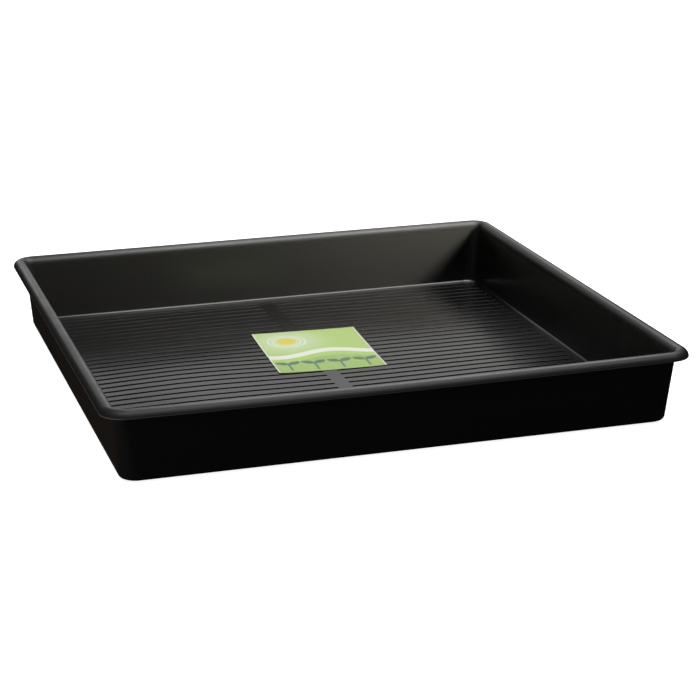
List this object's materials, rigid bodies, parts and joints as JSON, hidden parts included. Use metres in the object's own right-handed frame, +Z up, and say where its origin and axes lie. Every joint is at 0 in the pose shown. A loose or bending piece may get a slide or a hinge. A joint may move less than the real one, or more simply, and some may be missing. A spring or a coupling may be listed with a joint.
{
  "type": "plant growing tray",
  "caption": "Square shallow plastic growing tray with drafted walls, a rolled rim and a grooved floor that stands on its ridges, with a printed label lying in it.",
  "frame": {"origin": "middle of the plane that the tray stands on", "axes": "+Z up out of the open top, +X along the front rim to the right, +Y from the front rim to the back rim"},
  "size_m": [1, 1, 0.1315],
  "materials": {
    "black_plastic": "satin formed sheet with a fine grain",
    "printed_label": "semi-gloss print in light greens and white"
  },
  "bodies": {
    "root": {"tray": "black_plastic", "label": "printed_label"}
  },
  "joints": []
}
